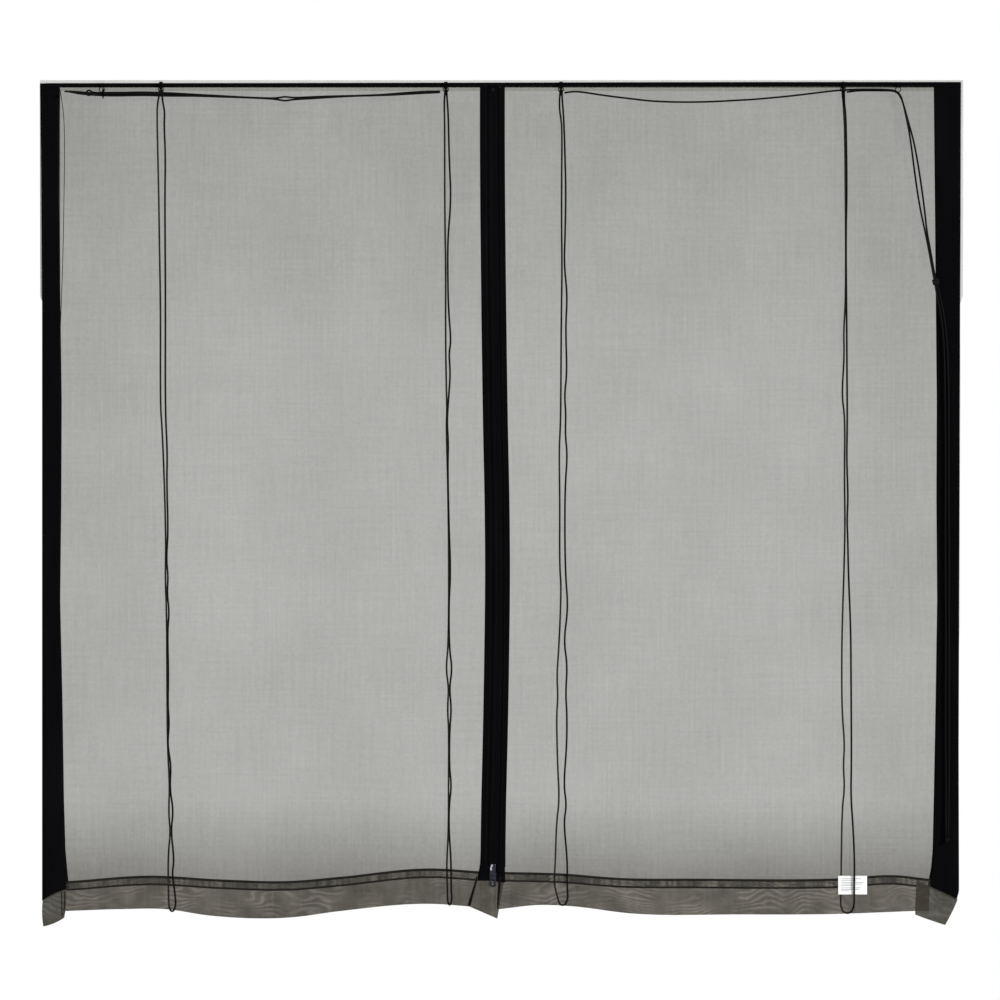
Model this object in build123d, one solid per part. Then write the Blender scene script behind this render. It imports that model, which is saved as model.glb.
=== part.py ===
from build123d import *
from math import pi, radians, tan
import os

# Hanging mesh door curtain in two halves with a centre zip. Millimetres. +X right, +Z up, -Y the front.
# The origin is the middle of the back face of the hook strip along the top, which sticks to the lintel.
# Depths are measured forward from that face, so a depth of 5 is y = -5.

# Whole curtain
HALF_WIDTH = 1219.0          # outer edge of the side hook strips at the top
TAPE_LEFT, TAPE_RIGHT = -1218.0, 1213.0    # outer edges of the side tapes at the top
MESH_OUT = 1205.0            # how far the mesh runs into the side tapes
MESH_IN = 23.0               # the mesh stops this far from the middle of the zip
MESH_TOP = 2.0
HOOK_HALF_HEIGHT = 10.0      # the top hook strip
HEADER_TOP = 4.5
HEADER_LOW = -9.0
FOLD_LOW = -19.0             # lower edge of the doubled mesh under the header

# Depths of the layers
HOOK_DEPTH = 1.8
TAPE_FRONT = 5.2
MESH_BACK, MESH_FRONT = 3.0, 4.0
FOLD_FRONT = 4.8
HEM_BACK, HEM_FRONT = 2.2, 5.6
SEAM_FRONT = 6.2
FLAP_BACK, FLAP_FRONT = 6.3, 7.0
LABEL_FRONT = 6.7

# Centre zip
ZIP_X = -22.7
ZIP_LEFT, ZIP_RIGHT = -57.0, 9.0
WEB_HALF = 15.0              # the tape is thin from here to the coil
COIL_HALF = 4.0
COIL_GAP = 0.2
COIL_BACK, COIL_FRONT = 2.5, 4.5
COIL_TOP, COIL_LOW = -20.0, -2075.0
WEB_BACK, WEB_FRONT, WEB_LOW = 3.1, 3.9, -2085.0
TAPE_LOW = -2068.0
SLIDER_LOW, SLIDER_TOP, SLIDER_HALF = -2084.0, -2060.0, 8.0
PIN_DEPTH, PIN_Z, PIN_RADIUS = 9.4, -2068.0, 1.0
TAB_LOW, TAB_HALF, TAB_THICK = -2120.0, 8.5, 1.6

# Guide rings on the header, from left to right, and the lift cords' knots
RING_X = [-1055.0, -899.0, -147.0, 157.0, 902.0, 1047.0]
LIFT_RINGS = {1: 2, 2: 3, 3: 4, 4: 5}    # each lift cord's ring
RING_RADIUS, RING_WIRE = 7.0, 1.2
STRAP_WIDTH, STRAP_TOP, STRAP_LOW = 10.0, 2.0, -10.5
STRAP_FRONT, STRAP_WALL = 11.0, 1.2
RING_Y = -8.1
KNOT_RADIUS, KNOT_Y, KNOT_Z = 5.0, -9.5, -26.5
CORD = 5.0                   # cord diameter
BACK, FRONT = 4.0, -12.0     # y of the strands behind and in front of the mesh

# The stitched line along the top of the hem, and the hem's lower edge, from left to right
LEFT_SEAM = [(-1137, -2105), (-928, -2091), (-740, -2101), (-558, -2105), (-426, -2094),
             (-189, -2072), (-39, -2081)]
RIGHT_SEAM = [(-6, -2081), (154, -2085), (313, -2097), (524, -2099), (894, -2098),
              (1044, -2090), (1124, -2099)]
LEFT_HEM_LOW = [(-1150, -2184), (-1007, -2179), (-888, -2179), (-770, -2196), (-558, -2201),
                (-426, -2184), (-189, -2165), (-39, -2176)]
RIGHT_HEM_LOW = [(-6, -2179), (102, -2168), (181, -2171), (339, -2190), (630, -2193),
                 (867, -2192), (1088, -2184)]
SEAM_BAND = 19.0
SEAM_GAP = 1.2               # between the mesh panels and the hems

# Lift cords. Each goes from its knot down behind the mesh, under the hem and up the front to the knot.
# Points are (offset from the ring, height), downward for the back strand and upward for the front one.
LIFT_BACK = {
    1: [(-10, -120), (-6, -290), (-4, -430), (-1, -600), (-2, -850), (3, -905), (10, -1080),
        (13, -1230), (11, -1300), (15, -1400), (16, -1600), (17, -1750), (23, -1850), (20, -1925),
        (25, -1975), (19, -2035), (21, -2100), (26, -2150)],
    2: [(-3, -120), (-3, -330), (0, -500), (-1, -640), (1, -790), (3, -860), (1, -910),
        (5, -1040), (8, -1250), (7, -1480), (0, -1545), (8, -1595), (4, -1650), (8, -1705),
        (7, -1860), (7, -1970), (2, -2060), (4, -2130)],
    3: [(3, -120), (1, -330), (3, -490), (1, -600), (0, -760), (-1, -900), (-5, -960), (-3, -1110),
        (-4, -1270), (1, -1330), (-5, -1480), (-11, -1560), (-8, -1620), (-12, -1670), (-9, -1800),
        (-4, -1890), (-12, -1950), (-15, -2060), (-19, -2120)],
    4: [(4, -120), (6, -290), (7, -560), (1, -655), (3, -720), (-4, -825), (5, -880), (3, -1030),
        (5, -1150), (3, -1260), (-3, -1440), (-4, -1550), (-3, -1660), (4, -1745), (0, -1800),
        (4, -1860), (-3, -1915), (-5, -2050), (-4, -2130)],
}
LIFT_FRONT = {
    1: [(34, -2150), (29, -2085), (35, -2050), (26, -1972), (33, -1920), (23, -1860), (27, -1800),
        (17, -1745), (22, -1690), (18, -1640), (20, -1560), (17, -1445), (22, -1395), (16, -1345),
        (19, -1300), (14, -1255), (19, -1180), (15, -1050), (17, -975), (11, -860), (12, -560),
        (10, -300), (12, -190), (8, -110)],
    2: [(13, -2130), (14, -2050), (8, -1970), (9, -1900), (15, -1855), (9, -1800), (10, -1705),
        (15, -1650), (9, -1595), (17, -1545), (9, -1490), (8, -1370), (13, -1290), (8, -1160),
        (5, -1010), (7, -950), (3, -890), (8, -820), (12, -765), (8, -710), (14, -680), (7, -600),
        (5, -500), (5, -410), (14, -305), (9, -200), (7, -110)],
    3: [(18, -2120), (17, -2050), (7, -1950), (15, -1905), (7, -1850), (15, -1750), (16, -1665),
        (12, -1610), (17, -1535), (7, -1470), (19, -1385), (12, -1300), (10, -1180), (11, -1060),
        (17, -980), (11, -925), (13, -870), (9, -820), (16, -765), (12, -640), (17, -560),
        (8, -475), (11, -400), (13, -280), (10, -170), (8, -110)],
    4: [(29, -2130), (30, -2050), (26, -1960), (20, -1880), (22, -1790), (21, -1600), (20, -1440),
        (14, -1300), (12, -1200), (10, -1150), (13, -1090), (9, -990), (11, -900), (10, -760),
        (9, -600), (7, -400), (10, -290), (8, -120)],
}
LIFT_TURN_Z = {1: -2188, 2: -2174, 3: -2177, 4: -2199}

# Draw cords along the header
LEFT_DRAW = [(-157, -15, -19), (-180, -17, -19.5), (-208, -18, -21), (-244, -17.5, -24), (-284, -18, -27),
             (-326, -17.5, -28), (-370, -18, -29.5), (-416, -17.5, -31), (-464, -18, -33),
             (-512, -17.5, -34.2),
             (-562, -18, -35), (-610, -17.5, -34.8), (-658, -18, -33.5), (-704, -17.5, -32), (-748, -18, -30),
             (-790, -18, -27.5)]
LEFT_RETURN = [(-790, -18, -33.5), (-750, -17.5, -35.5), (-706, -18, -37.5), (-660, -17.5, -39.5),
               (-612, -18, -40.5), (-562, -17.5, -40.6), (-514, -18, -39.8), (-466, -17.5, -38.6),
               (-418, -18, -37), (-372, -17.5, -35.2), (-328, -18, -33.8), (-286, -17.5, -32.2),
               (-246, -18, -29.5), (-210, -18, -26.6), (-182, -17, -25), (-160, -15, -26)]
LEFT_HANK = [(-790, -30.5), (-930, -26), (-1075, -25)]
HANK_HEIGHT, HANK_DEPTH, HANK_Y = 13.0, 10.0, -20.0
LEFT_TAIL = [(-1075, -20, -25), (-1096, -19.5, -23.8), (-1116, -18.5, -22), (-1136, -17, -19.6),
             (-1156, -14.5, -18)]
RIGHT_INNER = [(166, -14, -24), (190, -15.5, -19.5), (222, -16.5, -23), (262, -16, -29.5), (304, -16.5, -35),
               (346, -16, -40), (388, -16.5, -45), (432, -16, -47.5), (480, -16.5, -48.5), (530, -16, -48),
               (578, -16.5, -46.2), (624, -16, -43.5), (668, -16.5, -41.2), (712, -16, -37), (756, -17, -33),
               (802, -17, -27.6), (846, -17.5, -22.5), (888, -18.5, -17), (930, -19.5, -14),
               (972, -20, -13.2),
               (1008, -20, -13.5), (1034, -20, -15), (1050, -20, -24), (1058, -20, -42), (1064.5, -19.5, -70),
               (1073, -19, -108), (1081, -18.5, -150), (1089, -18, -205), (1098, -17, -270),
               (1108, -16, -335),
               (1118, -15, -388), (1128, -14.5, -438), (1137.5, -14.5, -491), (1143.5, -14, -523),
               (1151, -13, -566), (1162, -11.5, -622), (1169, -11, -700), (1171, -11.5, -830),
               (1172.5, -11, -1010), (1171.5, -11.5, -1220), (1173, -11, -1440), (1172, -11.5, -1660),
               (1173, -11, -1850), (1173.5, -13, -1988)]
RIGHT_OUTER = [(911, -13.5, -22), (933, -14, -16), (966, -14, -13.4), (1002, -14, -13.6), (1030, -14, -14.4),
               (1047, -14, -22), (1056, -14, -39), (1065, -14, -67), (1076, -14, -108), (1087, -13.8, -150),
               (1097, -13.2, -205), (1106.5, -12.6, -270), (1115, -11.6, -333), (1122.5, -10.6, -388),
               (1132, -10.2, -438), (1141, -10, -491), (1148, -10, -523), (1158.5, -11, -566),
               (1170.5, -11.3, -622), (1178, -11, -706), (1181, -11.5, -836), (1180, -11, -1020),
               (1182, -11.5, -1230), (1181, -11, -1450), (1182, -11.5, -1670), (1181, -11, -1856),
               (1179.5, -13, -1988)]
PULL_KNOT, PULL_KNOT_RADIUS = (1176.5, -15, -1996), 7.0
KEEPER, KEEPER_HALF, KEEPER_LENGTH = (1146, -12, -523), 8.5, 15.0

FORWARD = (0, -1, 0)

parts = {}


def face_of(edges, depth):
    """The flat face inside these edges, which are drawn in (x, z), at a depth."""
    return make_face([Plane.XZ.offset(depth) * edge for edge in edges])


def plate(outline, back, front):
    """A flat piece with this outline of (x, z) points between two depths."""
    return extrude(face_of([Polyline(*outline, close=True)], back), front - back, dir=FORWARD)


def bar(x0, x1, z0, z1, back, front):
    """A box given by its limits in x, z and depth."""
    return plate([(x0, z0), (x1, z0), (x1, z1), (x0, z1)], back, front)


def wavy(top, low, back, front):
    """A flat piece between two smooth lines that run from left to right."""
    edges = [Spline(*top), Line(top[-1], low[-1]), Spline(*low), Line(low[0], top[0])]
    return extrude(face_of(edges, back), front - back, dir=FORWARD)


def lowered(line, drop):
    return [(x, z - drop) for x, z in line]


def tube(name, points):
    """A round cord along straight runs joined by arcs as large as the runs allow."""
    at = [Vector(*p) for p in points]
    radii = []
    for a, b, c in zip(at, at[1:], at[2:]):
        half_turn = radians((b - a).get_angle(c - b)) / 2
        radii.append(0.45 * min((b - a).length, (c - b).length) / tan(half_turn))
    path = FilletPolyline(*at, radius=radii)
    parts[name] = sweep(Plane(path @ 0, z_dir=path % 0) * Circle(CORD / 2), path=path)
    filled = parts[name].volume / (pi * CORD**2 / 4 * path.length)
    print(f"{name}: {path.length:.0f} mm long, volume over section times length {filled:.4f}, radii",
          *[round(r) for r in radii])


# Hook strips, stuck to the lintel and the jambs
parts["header_hook_strip"] = bar(-HALF_WIDTH, HALF_WIDTH, -HOOK_HALF_HEIGHT, HOOK_HALF_HEIGHT, 0, HOOK_DEPTH)
HOOK_OUTLINE = [(1165, -10), (1219, -10), (1218, -560), (1208, -590), (1207, -2100), (1165, -2100)]
for side, name in ((-1, "left_hook_strip"), (1, "right_hook_strip")):
    parts[name] = plate([(side * x, z) for x, z in HOOK_OUTLINE], 0, HOOK_DEPTH)

# Header tape, folded over the top edge of both halves, and the doubled mesh below it
header = bar(TAPE_LEFT, TAPE_RIGHT, HEADER_LOW, HEADER_TOP, HOOK_DEPTH, TAPE_FRONT)
for x0, x1 in ((-MESH_OUT, ZIP_X - MESH_IN), (ZIP_X + MESH_IN, MESH_OUT)):
    header -= bar(x0, x1, HEADER_LOW - 1, MESH_TOP, MESH_BACK, MESH_FRONT)
parts["header_tape"] = header
parts["header_fold"] = Compound([
    bar(-1166, ZIP_LEFT - 0.5, FOLD_LOW, HEADER_LOW, MESH_FRONT, FOLD_FRONT),
    bar(ZIP_RIGHT + 0.5, 1140, FOLD_LOW, HEADER_LOW, MESH_FRONT, FOLD_FRONT),
])
parts["left_corner_patch"] = bar(TAPE_LEFT, -1162, -32, -1, TAPE_FRONT, TAPE_FRONT + 1)

# The two halves: mesh, side tape, zip tape, coil, hem. Each tape is folded over its edge of the mesh.
SIDE_TAPES = {
    "left": [(-1218, -9), (-1167, -9), (-1168, -307), (-1161, -835), (-1162, -1099), (-1165, -1363),
             (-1159, -1627), (-1155, -1891), (-1151, -2023), (-1145, -2089), (-1141, -2123), (-1213, -2149),
             (-1213, -571), (-1215, -250)],
    "right": [(1213, -9), (1141, -9), (1144, -307), (1149, -835), (1148, -1099), (1150, -1363),
              (1146, -1627), (1141, -1891), (1138, -2023), (1134, -2070), (1129, -2091), (1126, -2112),
              (1202, -2147), (1207, -2100), (1207, -1759), (1211, -571)],
}
ZIP_TAPES = {
    "left": [(ZIP_LEFT, -9), (ZIP_X - WEB_HALF, -9), (ZIP_X - WEB_HALF, TAPE_LOW), (-65, TAPE_LOW),
             (-61, -2030), (ZIP_LEFT, -1900)],
    "right": [(ZIP_RIGHT, -9), (ZIP_X + WEB_HALF, -9), (ZIP_X + WEB_HALF, TAPE_LOW), (10.5, TAPE_LOW),
              (10, -2030), (ZIP_RIGHT, -1900)],
}
SEAMS = {"left": LEFT_SEAM, "right": RIGHT_SEAM}
HEM_LOWS = {"left": LEFT_HEM_LOW, "right": RIGHT_HEM_LOW}
for name, side in (("left", -1), ("right", 1)):
    seam, low = SEAMS[name], HEM_LOWS[name]
    inner, outer = ZIP_X + side * MESH_IN, side * MESH_OUT
    line = sorted([(x, z + SEAM_GAP) for x, z in seam], key=lambda p: side * p[0])
    line[0] = (inner, line[0][1])
    rim = [line[-1], (outer, line[-1][1]), (outer, MESH_TOP), (inner, MESH_TOP), line[0]]
    mesh = extrude(face_of([Spline(*line), Polyline(*rim)], MESH_BACK), MESH_FRONT - MESH_BACK, dir=FORWARD)
    parts[f"{name}_mesh_panel"] = mesh
    parts[f"{name}_side_tape"] = plate(SIDE_TAPES[name], HOOK_DEPTH, TAPE_FRONT) - mesh
    coil_x = ZIP_X + side * COIL_GAP / 2
    web = bar(*sorted((ZIP_X + side * WEB_HALF, ZIP_X + side * COIL_HALF)), WEB_LOW, COIL_TOP,
              WEB_BACK, WEB_FRONT)
    parts[f"{name}_zip_tape"] = plate(ZIP_TAPES[name], HOOK_DEPTH, TAPE_FRONT) - mesh + web
    parts[f"{name}_zip_coil"] = bar(*sorted((coil_x, ZIP_X + side * COIL_HALF)), COIL_LOW, COIL_TOP,
                                    COIL_BACK, COIL_FRONT)
    parts[f"{name}_hem"] = wavy(seam, low, HEM_BACK, HEM_FRONT)
    parts[f"{name}_hem_seam"] = wavy(seam, lowered(seam, SEAM_BAND), HEM_FRONT, SEAM_FRONT)
    parts[f"{name}_end_stop"] = bar(*sorted((coil_x, ZIP_X + side * 5.0)), WEB_LOW - 9, WEB_LOW,
                                    COIL_BACK, COIL_FRONT)
parts["zip_top_stop"] = bar(ZIP_X - 5, ZIP_X + 5, COIL_TOP, COIL_TOP + 8, COIL_BACK - 0.5, COIL_FRONT + 0.5)

# Loose ends of the tapes and of the hem at the bottom, and the care label
parts["left_zip_end"] = plate([(-65, -2070), (-39, -2070), (-39, -2086), (-23, -2086), (-23, -2101),
                               (-67, -2101)], FLAP_BACK, FLAP_FRONT)
parts["right_zip_end"] = plate([(-6, -2070), (10, -2070), (11, -2101), (-22.4, -2101), (-22.4, -2086),
                                (-6, -2086)], FLAP_BACK, FLAP_FRONT)
parts["centre_flap"] = plate([(-67, -2102), (-88, -2168), (-9, -2207), (4, -2112)], FLAP_BACK, FLAP_FRONT)
parts["left_corner_flap"] = plate([(-1214, -2151), (-1153, -2128), (-1152, -2201), (-1216, -2223)],
                                  HEM_BACK, HEM_FRONT)
parts["right_corner_flap"] = plate([(1118, -2115), (1202, -2148), (1168, -2218), (1086, -2186)],
                                   FLAP_BACK, FLAP_FRONT)
parts["care_label"] = bar(889, 965, -2136, -2091, SEAM_FRONT, LABEL_FRONT)

# Zip slider: two plates joined by the neck that parts the coils, and two lugs that hold the tab's pin
slider = bar(ZIP_X - SLIDER_HALF, ZIP_X + SLIDER_HALF, SLIDER_LOW, SLIDER_TOP, 0.8, 2.2)
slider += bar(ZIP_X - SLIDER_HALF, ZIP_X + SLIDER_HALF, SLIDER_LOW, SLIDER_TOP, 4.9, 6.4)
slider += bar(ZIP_X - 2.5, ZIP_X + 2.5, SLIDER_LOW + 1, COIL_LOW - 1, 2.2, 4.9)
for x in (ZIP_X - 5.0, ZIP_X + 3.2):
    slider += bar(x, x + 1.8, PIN_Z - 2.2, PIN_Z + 2.2, 6.4, PIN_DEPTH + 2.2)
pin_axis = Plane(origin=(ZIP_X - 5.0, -PIN_DEPTH, PIN_Z), x_dir=(0, 1, 0), z_dir=(1, 0, 0))
parts["zip_slider"] = slider + extrude(pin_axis * Circle(PIN_RADIUS), 10.0)

# Pull tab: an eye on the pin, a neck between the lugs and a long flat grip with a rounded end and a slot
eye = Plane(origin=(ZIP_X - 2.7, -PIN_DEPTH, PIN_Z), x_dir=(0, 1, 0), z_dir=(1, 0, 0))
tab = extrude(eye * Circle(PIN_RADIUS + 1.1), 5.4)
tab_back, tab_front = PIN_DEPTH - TAB_THICK / 2, PIN_DEPTH + TAB_THICK / 2
tab += bar(ZIP_X - 2.7, ZIP_X + 2.7, PIN_Z - 10, PIN_Z, tab_back, tab_front)
grip_place = Plane.XZ.offset(tab_back) * Pos(ZIP_X, TAB_LOW + 21.0)
tab += extrude(grip_place * RectangleRounded(2 * TAB_HALF, 42.0, 6.0), TAB_THICK)
tab -= extrude(grip_place * Pos(0, -7.0) * RectangleRounded(7.0, 20.0, 3.4), TAB_THICK)
parts["pull_tab"] = tab - extrude(eye * Circle(PIN_RADIUS + 0.08), 5.4)

# Guide rings in folded straps on the header
ring_z = STRAP_LOW + STRAP_WALL + RING_WIRE + 0.1 - RING_RADIUS
strap_middle = (TAPE_FRONT + STRAP_FRONT) / 2
strap_depth, strap_height = STRAP_FRONT - TAPE_FRONT, STRAP_TOP - STRAP_LOW
for n, x in enumerate(RING_X, 1):
    side_on = Plane(origin=(x - STRAP_WIDTH / 2, -strap_middle, (STRAP_TOP + STRAP_LOW) / 2),
                    x_dir=(0, 1, 0), z_dir=(1, 0, 0))
    strap = RectangleRounded(strap_depth, strap_height, 2.8)
    strap -= RectangleRounded(strap_depth - 2 * STRAP_WALL, strap_height - 2 * STRAP_WALL, 1.6)
    parts[f"ring_strap_{n}"] = extrude(side_on * strap, STRAP_WIDTH)
    ring_plane = Plane(origin=(x, RING_Y, ring_z), x_dir=(1, 0, 0), z_dir=(0, -1, 0))
    parts[f"guide_ring_{n}"] = ring_plane * Torus(RING_RADIUS, RING_WIRE)

# Lift cords and the knots that tie them to the rings
for n, ring in LIFT_RINGS.items():
    x = RING_X[ring - 1]
    parts[f"lift_knot_{n}"] = Pos(x, KNOT_Y, KNOT_Z) * Sphere(KNOT_RADIUS)
    back, front, turn = LIFT_BACK[n], LIFT_FRONT[n], LIFT_TURN_Z[n]
    step = (front[0][0] - back[-1][0]) / 5
    under = [(back[-1][0] + step, 3.5, turn + 8), (back[-1][0] + 2 * step, 0, turn),
             (front[0][0] - 2 * step, -8, turn), (front[0][0] - step, -11.5, turn + 8)]
    route = [(-3, -6, -31), (-4, -4.5, -45), (-4, 0, -66), (-3, 3.2, -90)]
    route += [(dx, BACK - 0.6 * (i % 2), z) for i, (dx, z) in enumerate(back)]
    route += under
    route += [(dx, FRONT + 0.6 * (i % 2), z) for i, (dx, z) in enumerate(front)]
    route += [(6, -11, -75), (4, -10, -50), (2.5, -9.5, -31)]
    tube(f"lift_cord_{n}", [(x + dx, y, z) for dx, y, z in route])

# Draw cords, the hank of the left one and its tie, and the ends of the right ones
tube("left_draw_cord", LEFT_DRAW)
tube("left_return_cord", LEFT_RETURN)
tube("left_cord_tail", LEFT_TAIL)
(x0, z0), (x1, z1), (x2, z2) = LEFT_HANK
half = HANK_HEIGHT / 2
parts["left_hank"] = plate([(x0, z0 - half), (x1, z1 - half), (x2, z2 - half), (x2, z2 + half),
                            (x1, z1 + half),
                            (x0, z0 + half)], -HANK_Y - HANK_DEPTH / 2, -HANK_Y + HANK_DEPTH / 2)
tube("right_draw_cord_inner", RIGHT_INNER)
tube("right_draw_cord_outer", RIGHT_OUTER)
tie_x, tie_z = RING_X[0], -25.2
tie = bar(tie_x - 4, tie_x + 4, tie_z - 8.5, tie_z + 8.5, 13.3, 26.7) - parts["left_hank"]
parts["hank_tie"] = tie + bar(tie_x - 2, tie_x + 2, -26, -20, 7.5, 13.3)
parts["pull_knot"] = Pos(*PULL_KNOT) * Sphere(PULL_KNOT_RADIUS)
keeper = Pos(*KEEPER) * Rot(0, -13, 0) * Box(2 * KEEPER_HALF, 8.6, KEEPER_LENGTH)
parts["cord_keeper"] = fillet(keeper.edges().filter_by(GeomType.LINE), 1.5)

os.makedirs("parts", exist_ok=True)
for name, shape in parts.items():
    export_step(shape, f"parts/{name}.step")
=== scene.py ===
"""Looks of a hanging mesh door curtain in two halves, which a zip joins in the middle.

The frame is the part's own, in metres: +X to the right, +Z up and -Y the front. Named sizes and places are in
millimetres, and a depth is the distance in front of the wall, so it is -Y.
"""

import bpy
import numpy as np
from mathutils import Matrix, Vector


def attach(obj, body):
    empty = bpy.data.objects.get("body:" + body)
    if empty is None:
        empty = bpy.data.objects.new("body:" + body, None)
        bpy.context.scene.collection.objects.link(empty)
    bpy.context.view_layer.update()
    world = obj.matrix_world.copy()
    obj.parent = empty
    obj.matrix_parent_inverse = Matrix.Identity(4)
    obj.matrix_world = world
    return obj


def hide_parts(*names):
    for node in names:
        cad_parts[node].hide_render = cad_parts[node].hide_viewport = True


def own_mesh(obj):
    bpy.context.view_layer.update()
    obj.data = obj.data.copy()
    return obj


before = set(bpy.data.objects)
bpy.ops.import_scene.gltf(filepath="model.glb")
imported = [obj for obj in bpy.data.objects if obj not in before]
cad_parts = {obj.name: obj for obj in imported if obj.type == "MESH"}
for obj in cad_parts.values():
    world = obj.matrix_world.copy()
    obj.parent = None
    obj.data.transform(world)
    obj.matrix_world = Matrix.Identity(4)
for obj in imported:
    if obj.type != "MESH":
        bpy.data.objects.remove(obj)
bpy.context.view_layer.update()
MM = 0.001

# ---- the curtain's own sizes, in millimetres
ZIP_X = -22.7  # the line on which the coils meet
ZIP_LOW = -2085.0  # the zip tapes' lower end
TAPE_BACK, TAPE_FRONT = 1.8, 5.2
SIDES = (("left", -1), ("right", 1))
RING_X = [-1055, -899, -147, 157, 902, 1047]
LIFT_RINGS = {1: 2, 2: 3, 3: 4, 4: 5}
CORD = 5.0  # the cords' thickness
BACK, FRONT = 4.0, -12.0  # y of the lift cords' back and front strands

SEAMS = {
    "left": [(-1137, -2105), (-928, -2091), (-740, -2101), (-558, -2105), (-426, -2094), (-189, -2072),
        (-39, -2081)],
    "right": [(-6, -2081), (154, -2085), (313, -2097), (524, -2099), (894, -2098), (1044, -2090),
        (1124, -2099)],
}
HEM_LOWS = {
    "left": [(-1150, -2184), (-1007, -2179), (-888, -2179), (-770, -2196), (-558, -2201), (-426, -2184),
        (-189, -2165), (-39, -2176)],
    "right": [(-6, -2179), (102, -2168), (181, -2171), (339, -2190), (630, -2193), (867, -2192),
        (1088, -2184)],
}
# Each side tape's edge towards the mesh and its outer edge, downwards
SIDE_TAPES = {
    "left": ([(-1167, -9), (-1168, -307), (-1161, -835), (-1162, -1099), (-1165, -1363), (-1159, -1627),
              (-1155, -1891), (-1151, -2023), (-1145, -2089), (-1141, -2123)],
             [(-1218, -9), (-1215, -250), (-1213, -571), (-1213, -2157)]),
    "right": ([(1141, -9), (1144, -307), (1149, -835), (1148, -1099), (1150, -1363), (1146, -1627),
               (1141, -1891), (1138, -2023), (1134, -2070), (1129, -2095), (1125, -2120)],
              [(1213, -9), (1211, -571), (1207, -1759), (1208, -2132), (1201, -2156)]),
}
ZIP_TAPES = {
    "left": ([(-37.7, -9), (-37.7, -2068)], [(-57, -9), (-57, -1900), (-56, -2030), (-57, -2068)]),
    "right": ([(-7.7, -9), (-7.7, -2068)], [(9, -9), (9, -1900), (10, -2030), (10.5, -2068)]),
}

# Lift cords, as (offset from the ring, height): first down behind the mesh, then up in front of it
LIFT_BACK = {
    1: [(-10, -120), (-6, -290), (-4, -430), (-1, -600), (-2, -850), (3, -905), (10, -1080), (13, -1230),
        (11, -1300), (15, -1400), (16, -1600), (17, -1750), (23, -1850), (20, -1925), (25, -1975),
        (19, -2035), (19, -2100), (20, -2150)],
    2: [(-3, -120), (-3, -330), (0, -500), (-1, -640), (1, -790), (3, -860), (1, -910), (5, -1040),
        (8, -1250), (7, -1480), (0, -1545), (8, -1595), (4, -1650), (8, -1705), (7, -1860), (7, -1970),
        (2, -2060), (4, -2130), (4, -2146)],
    3: [(3, -120), (1, -330), (3, -490), (1, -600), (0, -760), (-1, -900), (-5, -960), (-3, -1110),
        (-4, -1270), (1, -1330), (-5, -1480), (-11, -1560), (-8, -1620), (-12, -1670), (-9, -1800),
        (-4, -1890), (-12, -1950), (-15, -2060), (-19, -2110), (-9, -2148)],
    4: [(4, -120), (6, -290), (7, -560), (1, -655), (3, -720), (-4, -825), (5, -880), (3, -1030),
        (5, -1150), (3, -1260), (-3, -1440), (-4, -1550), (-3, -1660), (4, -1745), (0, -1800), (4, -1860),
        (-3, -1915), (-5, -2050), (-6, -2130), (-7, -2162)],
}
LIFT_FRONT = {
    1: [(39, -2160), (36, -2130), (29, -2085), (35, -2050), (26, -1972), (33, -1920), (23, -1860),
        (27, -1800), (17, -1745), (22, -1690), (18, -1640), (20, -1560), (17, -1445), (22, -1395),
        (16, -1345), (19, -1300), (14, -1255), (19, -1180), (15, -1050), (17, -975), (11, -860), (12, -560),
        (10, -300), (12, -190), (8, -110)],
    2: [(16, -2146), (14, -2130), (14, -2050), (8, -1970), (9, -1900), (15, -1855), (9, -1800), (10, -1705),
        (15, -1650), (9, -1595), (17, -1545), (9, -1490), (8, -1370), (13, -1290), (8, -1160), (5, -1010),
        (7, -950), (3, -890), (8, -820), (12, -765), (8, -710), (14, -680), (7, -600), (5, -500), (5, -410),
        (14, -305), (9, -200), (7, -110)],
    3: [(18, -2148), (16, -2110), (17, -2050), (7, -1950), (15, -1905), (7, -1850), (15, -1750),
        (16, -1665), (12, -1610), (17, -1535), (7, -1470), (19, -1385), (12, -1300), (10, -1180),
        (11, -1060), (17, -980), (11, -925), (13, -870), (9, -820), (16, -765), (12, -640), (17, -560),
        (8, -475), (11, -400), (13, -280), (10, -170), (8, -110)],
    4: [(29, -2162), (29, -2130), (30, -2050), (26, -1960), (20, -1880), (22, -1790), (21, -1600),
        (20, -1440), (14, -1300), (12, -1200), (10, -1150), (13, -1090), (9, -990), (11, -900), (10, -760),
        (9, -600), (7, -400), (10, -290), (8, -120)],
}
LIFT_TURN_Z = {1: -2184, 2: -2167, 3: -2168, 4: -2189}
# Offsets from the ring near the knot: the back strand's at three heights, the front strand's at two
LIFT_TOPS = {1: ((-5, -8, -10), (5, 10)), 2: ((-3, -4, -4), (4, 6)), 3: ((-3, -4, -4), (4, 6)),
             4: ((-2, 0, 1), (3, 6))}

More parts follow.
